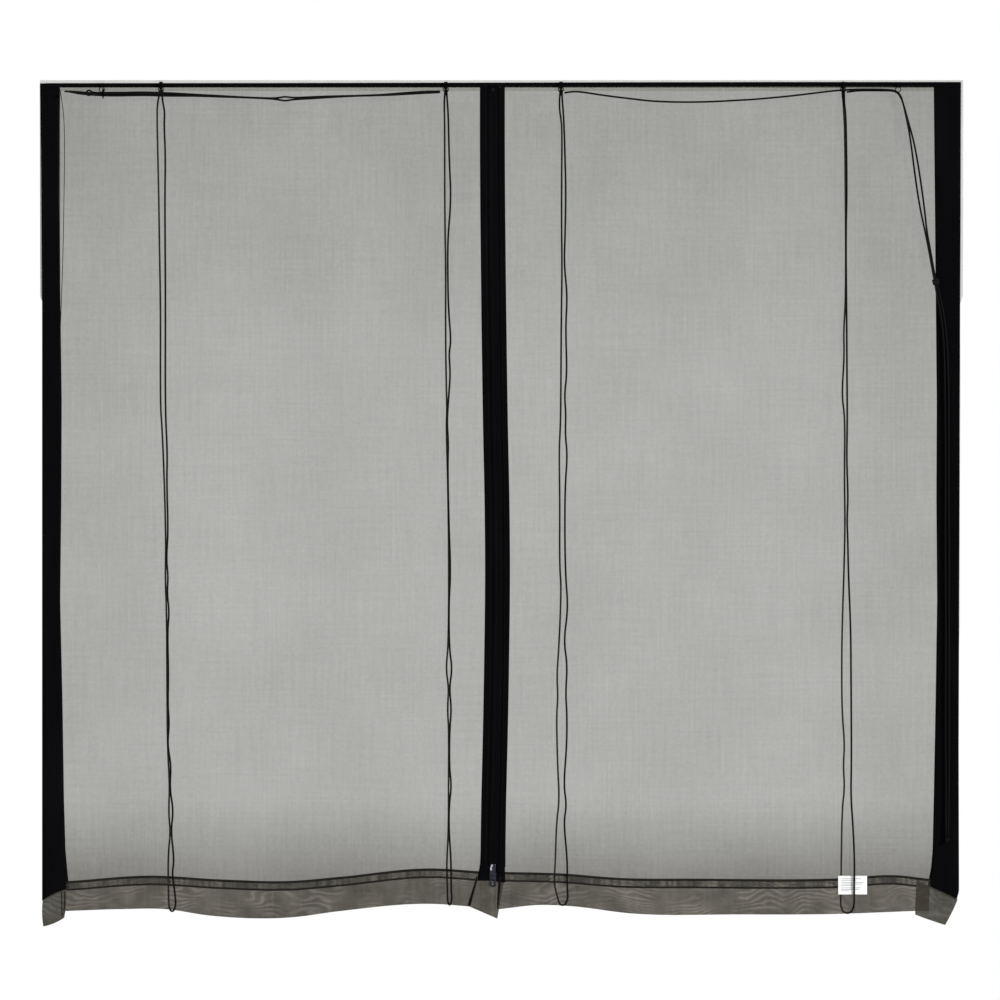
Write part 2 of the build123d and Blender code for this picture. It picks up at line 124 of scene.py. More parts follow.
# The left draw cord runs along this line beside its own return, and the hank lies along it further left
LEFT_LINE = [
    (-1162, -18), (-1126, -22.5), (-1095, -25.4), (-1050, -26.4), (-930, -26.8), (-850, -28.3),
    (-800, -30.5), (-743, -33), (-656, -36.8), (-567, -39.5), (-523, -38), (-479, -35.5), (-392, -32),
    (-303, -29), (-260, -26), (-200, -22.5), (-157, -21),
]
LEFT_STATIONS = [
    -162, -184, -210, -240, -272, -306, -342, -380, -420, -460, -502, -540, -558, -572, -586, -604, -636,
    -672, -712, -752,
]
RIGHT_INNER = [
    (166, -14, -24), (190, -15.5, -19.5), (222, -16.5, -23), (262, -16, -29.5), (304, -16.5, -35),
    (346, -16, -40), (388, -16.5, -45), (432, -16, -47.5), (480, -16.5, -48.5), (530, -16, -48),
    (578, -16.5, -46.2), (624, -16, -43.5), (668, -16.5, -41.2), (712, -16, -37), (756, -17, -33),
    (802, -17, -27.6), (846, -17.5, -22), (888, -18.5, -17.5), (930, -19.5, -14.8), (972, -20, -14.5),
    (1008, -20, -15), (1034, -20, -16.5), (1050, -20, -24), (1058, -20, -42), (1064.5, -19.5, -70),
    (1073, -19, -108), (1080, -18.5, -150), (1087, -18, -205), (1095.5, -17, -270), (1106, -16, -335),
    (1118, -15, -388), (1128, -14.5, -438), (1137.5, -14.5, -491), (1143.5, -14, -523), (1151, -13, -566),
    (1162, -11.5, -622), (1169, -11, -700), (1171, -11.5, -830), (1172.5, -11, -1010),
    (1171.5, -11.5, -1220), (1173, -11, -1440), (1172, -11.5, -1660), (1173, -11, -1850),
    (1173.5, -13, -1988),
]
RIGHT_OUTER = [
    (911, -13.5, -22), (933, -14, -18.4), (966, -14, -17.6), (1002, -14, -18), (1030, -14, -18),
    (1046, -14, -23), (1056, -14, -39), (1065, -14, -67), (1076, -14, -108), (1088, -13.8, -150),
    (1098.5, -13.2, -205), (1108.5, -12.6, -270), (1117, -11.6, -333), (1122.5, -10.6, -388),
    (1132, -10.2, -438), (1141, -10, -491), (1148, -10, -523), (1158.5, -11, -566), (1170.5, -11.3, -622),
    (1178, -11, -706), (1181, -11.5, -836), (1180, -11, -1020), (1182, -11.5, -1230), (1181, -11, -1450),
    (1182, -11.5, -1670), (1181, -11, -1856), (1179.5, -13, -1988),
]


# ---- materials
class Graph:
    """A material's node tree, written as expressions. Its coordinates are the object's own, in metres."""

    def __init__(self, name):
        self.material = bpy.data.materials.new(name)
        self.material.use_nodes = True
        self.tree = self.material.node_tree
        self.tree.nodes.clear()
        self.place = self.add("TexCoord").outputs["Object"]
        split = self.add("SeparateXYZ", Vector=self.place)
        self.x, self.y, self.z = split.outputs

    def put(self, socket, value):
        if isinstance(value, bpy.types.NodeSocket):
            self.tree.links.new(value, socket)
        elif socket.type == "RGBA" and len(value) == 3:
            socket.default_value = (*value, 1.0)
        else:
            socket.default_value = value

    def add(self, kind, settings=None, **inputs):
        node = self.tree.nodes.new(f"ShaderNode{kind}")
        for key, value in (settings or {}).items():
            setattr(node, key, value)
        for key, value in inputs.items():
            self.put(node.inputs[key.replace("_", " ")], value)
        return node

    def fill(self, node, *values):
        """Sets a node's inputs in their own order."""
        for socket, value in zip(node.inputs, values):
            self.put(socket, value)
        return node.outputs[0]

    def math(self, operation, *values):
        return self.fill(self.add("Math", {"operation": operation}), *values)

    def sum(self, first, *rest, operation="ADD"):
        for value in rest:
            first = self.math(operation, first, value)
        return first

    def times(self, *values):
        return self.sum(*values, operation="MULTIPLY")

    def wave(self, value, period):
        """From 0 to 1 and back once in each period."""
        turn = self.times(value, 2 * np.pi / period)
        return self.math("MULTIPLY_ADD", self.math("SINE", turn), 0.5, 0.5)

    def around(self, value, size, middle=0.5):
        """A change of this size, up and down, as the value goes from 0 to 1 through its middle."""
        return self.math("MULTIPLY_ADD", value, size, -size * middle)

    def noise(self, scale, detail=2.0, stretch=(1, 1, 1)):
        spot = self.add("Mapping", Vector=self.place, Scale=stretch)
        made = self.add("TexNoise", Vector=spot.outputs[0], Scale=scale, Detail=detail)
        return made.outputs[0]

    def span(self, value, low, high, to_low=0.0, to_high=1.0, smooth=False):
        node = self.add("MapRange", {"interpolation_type": "SMOOTHSTEP" if smooth else "LINEAR"})
        return self.fill(node, value, low, high, to_low, to_high)

    def blend(self, factor, a, b):
        node = self.add("Mix", {"data_type": "RGBA"})
        for index, value in ((0, factor), (6, a), (7, b)):
            self.put(node.inputs[index], value)
        return node.outputs[2]

    def bump(self, height, distance, strength=1.0):
        return self.add("Bump", Height=height, Distance=distance, Strength=strength).outputs[0]

    def shader(self, gloss=0.5, **inputs):
        return self.add("BsdfPrincipled", Specular_IOR_Level=gloss, **inputs).outputs[0]

    def surface(self, tone, dark, light, rough, relief, **more):
        """The whole material. rough is (value, least, most) and relief is (height, millimetres, strength)."""
        by, least, most = rough
        height, distance, strength = relief
        return self.done(self.shader(
            Base_Color=self.blend(tone, dark, light), Roughness=self.span(by, 0.3, 0.7, least, most),
            Normal=self.bump(height, distance * MM, strength), **more))

    def done(self, shader):
        self.add("OutputMaterial", Surface=shader)
        return self.material


def mesh_material(name, coverage, thread, dust_and_shade_colour, weave=0.16, moire=0.0, dark_low=False, mottle=1.0,
                  streak=0.0, tint=(0.99, 1.0, 0.975)):
    """Open weave of coated threads.

    coverage is the share that the threads take up, which weave, mottle and streak vary: the threads' own
    grid, slow changes in the cloth, and pleats. moire adds the lines that two layers make. With dark_low,
    painted shade darkens the cloth above the hem: there it is denser and browner. It is also a little denser
    towards the top and the sides. tint is the colour of the light in the holes.
    """
    g = Graph(name)
    pitch = 1.5 * MM
    grid = g.math("MAXIMUM", g.wave(g.x, pitch), g.wave(g.z, pitch))
    slub = g.noise(6.0, 4.0, (26, 1, 0.9))
    pick = g.noise(6.0, 4.0, (0.8, 1, 26))
    cloud = g.noise(3.4, 4.0)
    fleck = g.noise(120.0)
    cover = g.sum(coverage, g.around(grid, weave, 0.68), *[g.around(part, size * mottle) for part, size in (
        (slub, 0.075), (pick, 0.055), (cloud, 0.10), (fleck, 0.06))])
    if streak:
        pleat = g.noise(1.0, 3.0, (95, 1, 1))
        bunch = g.noise(1.0, 2.0, (17, 1, 1))
        cover = g.sum(cover, g.around(pleat, streak), g.around(bunch, 0.8 * streak))
    # Random dust in the threads' colour; with dark_low, painted shade above the hem is added to it
    dust_and_shade = g.noise(5.0, 4.0)
    if dark_low:
        # Painted shade above the hem: the cloth there is denser and browner. top and side make it a little
        # denser towards the top and the sides
        low = g.math("POWER", g.span(g.z, -1.885, -2.105), 1.15)
        top = g.span(g.z, -1.0, 0.0, smooth=True)
        side = g.span(g.math("ABSOLUTE", g.x), 0.75, 1.17, smooth=True)
        cover = g.sum(cover, g.times(low, 0.215), g.times(top, 0.070), g.times(side, 0.030))
        dust_and_shade = g.sum(g.times(dust_and_shade, 0.4), g.times(g.math("POWER", low, 2.0), 1.6))
    if moire:
        warp = g.noise(5.5, 2.5, (1, 1, 1.5))
        lines = g.wave(g.sum(g.z, g.times(warp, 0.17)), 0.0125)
        lines = g.math("POWER", lines, 1.6)
        patch = g.span(g.noise(11.0), 0.36, 0.62, smooth=True)
        blot = g.noise(19.0, 3.0)
        lighter_right = g.times(g.span(g.x, -0.05, 0.5, smooth=True), -0.038)
        cover = g.sum(cover, g.times(lines, patch, -moire), g.around(blot, -0.20), lighter_right)
    colour = g.blend(dust_and_shade, thread, dust_and_shade_colour)
    bump = g.bump(grid, 0.12 * MM, 0.5)
    body = g.shader(Base_Color=colour, Roughness=0.82, gloss=0.25, Normal=bump)
    hole = g.add("BsdfTransparent", Color=tint).outputs[0]
    cover = g.math("MINIMUM", g.math("MAXIMUM", cover, 0.05), 0.98)
    return g.done(g.fill(g.add("MixShader"), cover, hole, body))


def webbing_material(name, dark, light, period=1.6):
    """Woven loop tape: a fine twill under short fuzz, a little greyer where it has rubbed."""
    g = Graph(name)
    twill = g.wave(g.sum(g.x, g.times(g.z, 0.5)), period * MM)
    cross = g.wave(g.sum(g.z, g.times(g.x, -0.5)), period * 0.62 * MM)
    fuzz = g.noise(1400.0, 3.0)
    wear_and_glint = g.span(g.noise(14.0, 4.0, (1, 1, 0.25)), 0.5, 0.8)
    tone = g.sum(g.times(twill, cross, 0.35), g.times(fuzz, 0.35), g.times(wear_and_glint, 0.4))
    height = g.sum(g.times(twill, cross, 0.6), g.times(fuzz, 0.6))
    return g.surface(tone, dark, light, (fuzz, 0.75, 0.95), (height, 0.25, 0.7), gloss=0.03)


def thread_material(name, colour, glint):
    g = Graph(name)
    twist = g.wave(g.sum(g.x, g.z, g.y), 0.5 * MM)
    tone = g.sum(g.times(twist, 0.6), g.times(g.noise(900.0), 0.4))
    return g.done(g.shader(Base_Color=g.blend(tone, colour, glint), Roughness=g.span(tone, 0, 1, 0.6, 0.8),
                           gloss=0.08, Normal=g.bump(twist, 0.08 * MM, 0.6)))


def hook_material():
    """Grey hook tape: rows of tiny hooks, slightly soiled."""
    g = Graph("hook tape grey")
    rows = g.times(g.wave(g.x, 1.9 * MM), g.wave(g.z, 1.5 * MM))
    soil = g.noise(24.0, 4.0, (1, 1, 0.4))
    tone = g.sum(g.times(rows, 0.5), g.times(soil, 0.5))
    return g.surface(tone, (0.50, 0.50, 0.49), (0.78, 0.78, 0.77), (soil, 0.5, 0.75), (rows, 0.5, 0.8),
                     gloss=0.35)


def plastic_material(name, colour, light, roughness, gloss):
    g = Graph(name)
    grain = g.noise(700.0, 3.0)
    scuff = g.span(g.noise(90.0, 5.0, (1, 1, 3)), 0.5, 0.75)
    return g.surface(scuff, colour, light, (grain, roughness - 0.06, roughness + 0.12), (grain, 0.04, 0.5),
                     gloss=gloss)


def metal_material(name, colour, tarnish, roughness):
    g = Graph(name)
    brushed = g.noise(900.0, 3.0, (1, 1, 0.08))
    stain = g.span(g.noise(160.0, 4.0), 0.5, 0.75)
    return g.surface(stain, colour, tarnish, (brushed, roughness - 0.05, roughness + 0.1),
                     (brushed, 0.03, 0.5), Metallic=1.0)


def slider_material():
    """Black nickel plate with a painted glint: a bright streak along one side of the crown."""
    g = Graph("worn black nickel")
    grain = g.noise(900.0, 3.0, (1, 1, 0.2))
    # The painted glint: a bright, tilted streak on the crown's left side, standing in for a reflection
    along = g.sum(g.z, 2.069)
    across = g.sum(g.x, 0.0263, g.times(along, -0.22))
    far = g.sum(*[g.math("POWER", g.times(way, 1 / reach), 2.0)
                  for way, reach in ((across, 0.0030), (along, 0.0085))])
    wear_and_glint = g.span(g.sum(far, g.times(grain, 0.5)), 1.5, 0.9, smooth=True)
    return g.surface(wear_and_glint, (0.045, 0.047, 0.060), (0.93, 0.93, 0.95), (grain, 0.22, 0.4), (grain, 0.03, 0.5),
                     Metallic=1.0)


def cord_material():
    """Black braided polyester. The braid follows the tube's own map: round it in u, along it in v."""
    g = Graph("black braid")
    chart = g.add("UVMap", {"uv_map": "braid"}).outputs[0]
    u, v, _ = g.add("SeparateXYZ", Vector=chart).outputs
    plait = g.math("MAXIMUM", *[g.wave(g.sum(g.times(u, 4.0), g.times(v, way / (4.2 * MM))), 1.0)
                                for way in (1, -1)])
    fuzz = g.noise(1800.0)
    tone = g.sum(g.times(plait, 0.55), g.times(fuzz, 0.45))
    return g.surface(tone, (0.0008, 0.0008, 0.001), (0.006, 0.006, 0.0065), (fuzz, 0.65, 0.85),
                     (plait, 0.4, 0.9), gloss=0.06)


def label_material():
    g = Graph("label satin")
    ribs = g.wave(g.x, 0.45 * MM)
    crease = g.noise(60.0, 3.0, (0.6, 1, 1))
    tone = g.sum(g.times(ribs, 0.25), g.times(crease, 0.6))
    return g.surface(tone, (0.84, 0.86, 0.86), (0.95, 0.95, 0.95), (crease, 0.35, 0.5),
                     (g.sum(g.times(ribs, 0.1), crease), 0.4, 0.5), gloss=0.4, Sheen_Weight=0.1)


def ink_material():
    g = Graph("label print")
    patchy = g.noise(1200.0)
    return g.surface(patchy, (0.16, 0.16, 0.17), (0.36, 0.36, 0.37), (patchy, 0.6, 0.8), (patchy, 0.02, 0.4))


MESH = mesh_material("open mesh", 0.582, (0.017, 0.021, 0.009), (0.026, 0.018, 0.010), dark_low=True)
FOLDED = mesh_material("folded mesh", 0.14, (0.040, 0.042, 0.030), (0.060, 0.055, 0.040))
DOUBLE = mesh_material("hem mesh", 0.703, (0.008, 0.0065, 0.004), (0.016, 0.013, 0.008), weave=0.12,
                       moire=0.11, mottle=1.1, tint=(0.99, 0.957, 0.895))
BAND = mesh_material("seam band mesh", 0.33, (0.020, 0.019, 0.018), (0.044, 0.038, 0.034), weave=0.14,
                     mottle=2.0, streak=1.9)
FLAP = mesh_material("corner mesh", 0.85, (0.022, 0.020, 0.014), (0.058, 0.049, 0.035), weave=0.12,
                     moire=0.10, mottle=1.5)
CENTRE = mesh_material("folded centre mesh", 0.83, (0.022, 0.019, 0.012), (0.064, 0.053, 0.035), weave=0.1,
                       moire=0.06, mottle=1.6, streak=0.25)
EDGE = webbing_material("turned mesh edge", (0.008, 0.0075, 0.006), (0.026, 0.023, 0.019), 1.4)
CREASE = webbing_material("folded mesh edge", (0.003, 0.0026, 0.0018), (0.013, 0.011, 0.008), 1.4)
WEBBING = webbing_material("black loop tape", (0.0006, 0.0006, 0.0009), (0.0042, 0.0042, 0.0052))
STITCH = thread_material("black thread", (0.0015, 0.0015, 0.002), (0.012, 0.012, 0.014))
HEM_STITCH = thread_material("brown black thread", (0.008, 0.007, 0.006), (0.026, 0.023, 0.019))
HOOKS = hook_material()
COIL = plastic_material("nylon coil", (0.0012, 0.0012, 0.0015), (0.006, 0.006, 0.007), 0.5, 0.12)
MOULDED = plastic_material("moulded black", (0.002, 0.002, 0.0024), (0.008, 0.008, 0.009), 0.5, 0.12)
PLATED = slider_material()
TAB_METAL = metal_material("plated tab", (0.050, 0.052, 0.072), (0.012, 0.012, 0.016), 0.24)
NICKEL = metal_material("black nickel wire", (0.022, 0.023, 0.028), (0.008, 0.008, 0.009), 0.3)
BRAID = cord_material()
SATIN = label_material()
INK = ink_material()


# ---- mesh helpers
def place(name, data):
    made = bpy.data.objects.new(name, data)
    bpy.context.scene.collection.objects.link(made)
    return made


class Build:
    """Gathers vertices and faces, and makes one object of them."""

    def __init__(self):
        self.points, self.faces, self.finishes, self.charts = [], [], [], []

    def add(self, points, faces, finish=0, chart=None):
        base = len(self.points)
        self.points.extend(tuple(p) for p in points)
        self.faces.extend(tuple(base + i for i in face) for face in faces)
        self.finishes.extend([finish] * len(faces))
        self.charts.extend(chart or [None] * len(faces))

    def sheet(self, points, rows, columns, turned=True, finish=0):
        """Rows of points joined by quads. A turned sheet that runs down and to the right faces the front."""
        self.add(points, [face[::-1] if turned else face for face in grid_faces(rows, columns)], finish)

    def object(self, name, materials, body, slot, replaces=()):
        data = bpy.data.meshes.new(name)
        data.from_pydata(self.points, [], self.faces)
        for m in materials:
            data.materials.append(m)
        data.polygons.foreach_set("material_index", self.finishes)
        data.polygons.foreach_set("use_smooth", [True] * len(self.faces))
        if any(self.charts):
            layer = data.uv_layers.new(name="braid")
            corners = [uv for face, c in zip(self.faces, self.charts) for uv in (c or [(0, 0)] * len(face))]
            layer.data.foreach_set("uv", np.array(corners, float).ravel())
        data.update()
        made = place(name, data)
        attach(made, body)
        if replaces:
            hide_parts(*replaces)
        return made

    def tape(self, name, node, body="header"):
        return self.object(name, [WEBBING, STITCH], body, "black_webbing", [node])


def smooth_line(points):
    """The height of a smooth line through these points, as a function of x. Millimetres."""
    px, pz = np.array(points, float).T
    slope = np.gradient(pz, px)

    def height(x):
        x = np.clip(x, px[0], px[-1])
        i = np.clip(np.searchsorted(px, x) - 1, 0, len(px) - 2)
        h = px[i + 1] - px[i]
        t = (x - px[i]) / h
        return ((2 * t**3 - 3 * t**2 + 1) * pz[i] + (t**3 - 2 * t**2 + t) * h * slope[i]
                + (3 * t**2 - 2 * t**3) * pz[i + 1] + (t**3 - t**2) * h * slope[i + 1])
    return height


ZIP_BOW = smooth_line([(-2400, 0), (-2068, 0), (-1891, 3.5), (-1700, 8), (-1495, 11.5), (-1300, 13.5),
                       (-1100, 12), (-900, 8), (-700, 5), (-450, 2), (-200, 0), (100, 0)])


def bowed(points):
    """The zip hangs a little to one side between its ends, and the mesh beside it follows. Metres."""
    moved = np.array(points, float)
    away = np.abs(moved[:, 0] / MM - ZIP_X)
    moved[:, 0] += ZIP_BOW(moved[:, 2] / MM) * MM * (1 - ease(away, 40.0, 420.0))
    return moved


def ease(value, low, high):
    t = np.clip((value - low) / (high - low), 0, 1)
    return t * t * (3 - 2 * t)


def grid_faces(rows, columns):
    return [(r * columns + c, r * columns + c + 1, (r + 1) * columns + c + 1, (r + 1) * columns + c)
            for r in range(rows - 1) for c in range(columns - 1)]


def wrapped_faces(rings, size, closed=False):
    """Quads that join each ring of points to the next one and, if closed, the last ring to the first."""
    return [(r * size + k, r * size + (k + 1) % size, s * size + (k + 1) % size, s * size + k)
            for r in range(rings if closed else rings - 1) for s in [(r + 1) % rings] for k in range(size)]


def distances(line):
    """How far along the line each of its points lies."""
    return np.concatenate(([0], np.cumsum(np.linalg.norm(np.diff(line, axis=0), axis=1))))


def tube(build, path, radius, sides=10, closed=False):
    """A round tube along a path, with its braid's chart."""
    path = np.array(path, float)
    ahead = np.roll(path, -1, 0) - path
    if not closed:
        ahead[-1] = ahead[-2]
    ahead /= np.linalg.norm(ahead, axis=1)[:, None]
    behind = np.roll(ahead, 1, 0)
    if not closed:
        behind[0] = ahead[0]
    tangent = ahead + behind
    tangent /= np.linalg.norm(tangent, axis=1)[:, None]
    side = np.cross(tangent[0], (0.3, 0.9, 0.2))
    points = []
    for p, t in zip(path, tangent):
        side = side - t * side.dot(t)
        side /= np.linalg.norm(side)
        other = np.cross(t, side)
        for k in range(sides):
            a = 2 * np.pi * k / sides
            points.append(p + radius * (np.cos(a) * side + np.sin(a) * other))
    count = len(path)
    far = distances(np.concatenate((path, path[:1])))
    faces = wrapped_faces(count, sides, closed)
    chart = [[(a, u), (b, u), (b, v), (a, v)] for u, v in list(zip(far, far[1:]))[:len(faces) // sides]
             for a, b in [(k / sides, (k + 1) / sides) for k in range(sides)]]
    if not closed:
        for ring, order in ((0, -1), (count - 1, 1)):
            faces.append(tuple(ring * sides + k for k in range(sides))[::order])
            chart.append([(0.5, far[ring])] * sides)
    build.add(points, faces, chart=chart)


def stitches(build, line, depth, pitch=4.2, length=2.9, radius=0.42):
    """A row of lockstitches in the second material, along (x, z) points on a face at this depth."""
    y = -depth
    line = np.array(line, float)
    far = distances(line)
    for start in np.arange(0.6, far[-1] - length, pitch):
        a, b = [np.array([np.interp(s, far, line[:, k]) for k in (0, 1)]) for s in (start, start + length)]
        way = (b - a) / length
        across = np.array([-way[1], way[0]]) * radius
        points = [(a[0], y + 0.1, a[1]), (b[0], y + 0.1, b[1])]
        for share in (0.25, 0.75):
            m = a + (b - a) * share
            points += [(m[0] + across[0], y, m[1] + across[1]), (m[0], y - radius * 0.8, m[1]),
                       (m[0] - across[0], y, m[1] - across[1]), (m[0], y + radius, m[1])]
        faces = [(0, 3, 2), (0, 4, 3), (0, 5, 4), (0, 2, 5), (1, 6, 7), (1, 7, 8), (1, 8, 9), (1, 9, 6)]
        faces += [(2 + k, 2 + (k + 1) % 4, 6 + (k + 1) % 4, 6 + k) for k in range(4)]
        build.add(np.array(points) * MM, faces, finish=1)


def rail(points, share):
    """The point at a share of the way down a rail of (x, z) points."""
    line = np.array(points, float)
    far = distances(line)
    return np.array([np.interp(share * far[-1], far, line[:, k]) for k in (0, 1)])


def ribbon(build, rail_a, rail_b, back, front, rows, columns, finish=0, wobble=0.25, edge=0.7, seed=0.0,
           grooves=()):
    """A strip of tape between two rails, from one depth to another, with rounded edges and an uneven face."""
    shares = np.linspace(0, 1, columns)
    middle = (back + front) / 2
    points = []
    for r in range(rows):
        a, b = rail(rail_a, r / (rows - 1)), rail(rail_b, r / (rows - 1))
        width = np.linalg.norm(b - a)
        inset = min(edge / width, 0.3)
        ring = [(0, middle)]
        for s in shares:
            s = inset + s * (1 - 2 * inset)
            p = a + (b - a) * s
            swell = wobble * (np.sin(p[1] / 37 + seed + 3 * s) + 0.6 * np.sin(p[1] / 13.7 + 5 * s + 2 * seed))
            dent = sum(0.35 * np.exp(-((s * width - g) / 1.6) ** 2) for g in grooves)
            ring.append((s, front + 0.5 * swell - dent))
        ring.append((1, middle))
        ring += [(inset + s * (1 - 2 * inset), back) for s in shares[::-1]]
        points += [(*(a + (b - a) * s), depth) for s, depth in ring]
    size = 2 * columns + 2
    faces = wrapped_faces(rows, size)
    faces += [tuple(range(size))[::-1], tuple((rows - 1) * size + k for k in range(size))]
    a, b = rail(rail_a, 0.0), rail(rail_b, 0.0)
    if b[0] < a[0]:
        faces = [face[::-1] for face in faces]
    build.add([(x * MM, -depth * MM, z * MM) for x, z, depth in points], faces, finish)


def along(rail_a, rail_b, inset):
    """The line at this distance from rail a towards rail b, for a row of stitches."""
    line = []
    for s in np.linspace(0, 1, 60):
        a, b = rail(rail_a, s), rail(rail_b, s)
        line.append(a + (b - a) * inset / np.linalg.norm(b - a))
    return line


def gather(made):
    """Gives the piece its own copy of its mesh."""
    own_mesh(made)


def paint(node, material):
    data = bpy.data.objects[node].data
    data.materials.clear()
    data.materials.append(material)


# ---- camera
VIEW_X, VIEW_Z, VIEW_WIDTH = -0.004, -1.0988, 2.64  # metres
camera = place("camera", bpy.data.cameras.new("camera"))
camera.data.type = "ORTHO"
camera.data.ortho_scale = VIEW_WIDTH
camera.location = (VIEW_X, -6.0, VIEW_Z)
camera.rotation_euler = (np.pi / 2, 0, 0)
camera.data.clip_end = 60.0
bpy.context.scene.camera = camera


# ---- cords
def centreline(points):
    """The points of the smooth line that a cord follows, from a spline whose control points are the route."""
    data = bpy.data.curves.new("route", "CURVE")
    data.dimensions = "3D"
    data.resolution_u = 10
    spline = data.splines.new("NURBS")
    spline.points.add(len(points) - 1)
    for point, p in zip(spline.points, points):
        point.co = (*[c * MM for c in p], 1)
    spline.order_u = 3
    spline.use_endpoint_u = True
    holder = place("route", data)
    line = bpy.data.meshes.new_from_object(holder)
    path = np.array([v.co for v in line.vertices])
    bpy.data.objects.remove(holder)
    bpy.data.curves.remove(data)
    bpy.data.meshes.remove(line)
    keep = np.concatenate(([True], np.linalg.norm(np.diff(path, axis=0), axis=1) > 1e-5))
    return path[keep]


def cord_piece(name, points, replaces, **said):
    """A free cord along these points. What is said of its ends, its lay and the pieces on it is not used."""
    path = centreline(points)
    build = Build()
    tube(build, path, CORD / 2 * MM)
    made = build.object(name, [BRAID], "header", "black_cord", replaces)
    return made


def knot(name, at, size, node):
    """An overhand knot pulled tight: a closed trefoil of cord."""
    turn = np.linspace(0, 2 * np.pi, 72, endpoint=False)
    loop = np.stack([np.sin(turn) + 2 * np.sin(2 * turn), -np.sin(3 * turn) * 1.2,
                     np.cos(turn) - 2 * np.cos(2 * turn)], 1)
    wire = 0.36 * size
    loop *= (size - wire) / 3.0
    build = Build()
    tube(build, (loop + np.array(at)) * MM, wire * MM, 9, closed=True)
    return build.object(name, [BRAID], "header", "black_cord", [node])


def lift_route(n):
    """From the ring's knot down the back strand, round under the hem in a wide turn, and up the front one."""
    back, front, turn = LIFT_BACK[n], LIFT_FRONT[n], LIFT_TURN_Z[n]
    (start, _), (end, _) = back[-1], front[0]
    wide = end - start
    (b0, b1, b2), (f1, f2) = LIFT_TOPS[n]
    route = [(-1.5, -7, -15), (b0 / 2 - 1, -6, -23), (b0, -5.5, -32), (b1, -4.5, -45), (b2, 0, -66),
             ((b2 + back[0][0]) / 2, 3.2, -90)]
    route += [(dx, BACK - 0.6 * (i % 2), z) for i, (dx, z) in enumerate(back)]
    route += [(start + 0.05 * wide, 3.5, turn + 13), (start + 0.22 * wide, 1.5, turn + 2),
              (start + 0.5 * wide, -4, turn - 1), (start + 0.78 * wide, -9.5, turn + 2),
              (start + 0.95 * wide, -11.8, turn + 13)]
    route += [(dx, FRONT + 0.6 * (i % 2), z) for i, (dx, z) in enumerate(front)]
    route += [(f2, -11, -75), (f1, -10.5, -50), (2.8, -11.5, -32), (2.8, -12, -23), (2.2, -11, -15)]
    x = RING_X[LIFT_RINGS[n] - 1]
    return [(x + dx, y, z) for dx, y, z in route]


left_line = smooth_line(LEFT_LINE)


def left_strand(side):
    """One of the two strands between the third ring and the hank, from right to left. They lie together."""
    def apart(x):
        return 1.2 + 0.9 * np.sin(x / 47) + 4.2 * np.exp(-((x + 572) / 14) ** 2)

    return [(x, -18.5 + side * 2.9 + 0.3 * np.sin(x / 31), left_line(x) + side * apart(x))
            for x in LEFT_STATIONS]


def hank_route():
    """Four runs side by side, folded at both ends. The first comes from the right, where the last leaves."""
    runs = [(2.2, 4.0, 0), (-2.6, 1.6, 0), (2.4, -1.8, 2.7), (-2.4, -4.2, -2.7)]
    starts, stops = [-795, -1072, -852, -1116], [-1080, -844, -1136, -800]
    route = []
    for i, (dy, dz, tip_dz) in enumerate(runs):
        for k, x in enumerate(np.linspace(starts[i], stops[i], 8)):
            calm = 1 if 0 < k < 7 else 0
            tip = ease(-x, 1065, 1100)
            spread = (dz * (1 - tip) + tip_dz * tip) * (1 - 0.75 * ease(-x, 1112, 1150))
            spread *= 1 - 0.6 * ease(x, -890, -800)
            route.append((x, -20 + dy + 0.4 * calm * np.sin(k * 2.1 + i),
                          left_line(x) + spread + 0.7 * calm * (1 - tip) * np.cos(k * 1.7 + 2 * i)))
        if i == 0:  # a loop that stands up above the hank
            x, z = stops[0], left_line(stops[0] - 8)
            route += [(x - 7, -18.5, z + 9), (x - 15, -19.5, z + 7), (x - 16, -21.5, z - 3),
                      (x - 8, -22.5, z - 5)]
        elif i < 3:  # a fold towards the front, seen edge on
            out = 1 if i == 1 else -1
            x, z = stops[i], left_line(stops[i] + out * 10)
            ys = [-25.5, -24.5, -15.5, -14.5][::out]
            route += [(x + out * reach, y, z) for reach, y in zip((8, 16, 16, 8), ys)]
    return route


lift_knots = {n: knot(f"lift_knot_{n}_tied", (RING_X[ring - 1], -9.5, -26.5), 5.0, f"lift_knot_{n}")
              for n, ring in LIFT_RINGS.items()}
for n in LIFT_RINGS:
    made = cord_piece(f"lift_cord_{n}_braid", lift_route(n), [f"lift_cord_{n}"], far_end="object",
                      lay="hanging", with_pieces=[lift_knots[n]])
    gather(made)

cord_piece("left_draw_cord_braid", left_strand(1) + hank_route() + left_strand(-1)[::-1],
           ["left_draw_cord", "left_return_cord", "left_hank", "left_cord_tail"], far_end="object",
           lay="coiled")

pull_knot = knot("pull_knot_tied", (1176.5, -15, -1996), 7.0, "pull_knot")
for name, route, pieces in (("right_draw_cord_inner", RIGHT_INNER, [pull_knot]),
                            ("right_draw_cord_outer", RIGHT_OUTER, [pull_knot, "cord_keeper"])):
    cord_piece(f"{name}_braid", route, [name], far_end="knot", lay="hanging", with_pieces=pieces)


# ---- mesh panels
def billow(x, z, above_hem):
    """How far the hanging cloth stands out of its plane: faint cross folds."""
    calm = ease(np.abs(x - ZIP_X), 40, 150) * ease(1150 - np.abs(x), 0, 110) * ease(-z, 15, 140)
    calm = calm * ease(above_hem, 280, 520)
    cross = 1.25 * np.sin(z / 13.0 + 1.3 * np.sin(x / 210.0) + 0.8 * np.sin(z / 170.0))
    cross += 0.7 * np.sin(z / 21.0 - x / 150.0 + 2.0)
    drape = 0.9 * np.sin(x / 62.0 + 1.1 * np.sin(z / 520.0)) + 0.5 * np.sin(x / 27.0 + z / 300.0)
    return calm * (cross + drape)


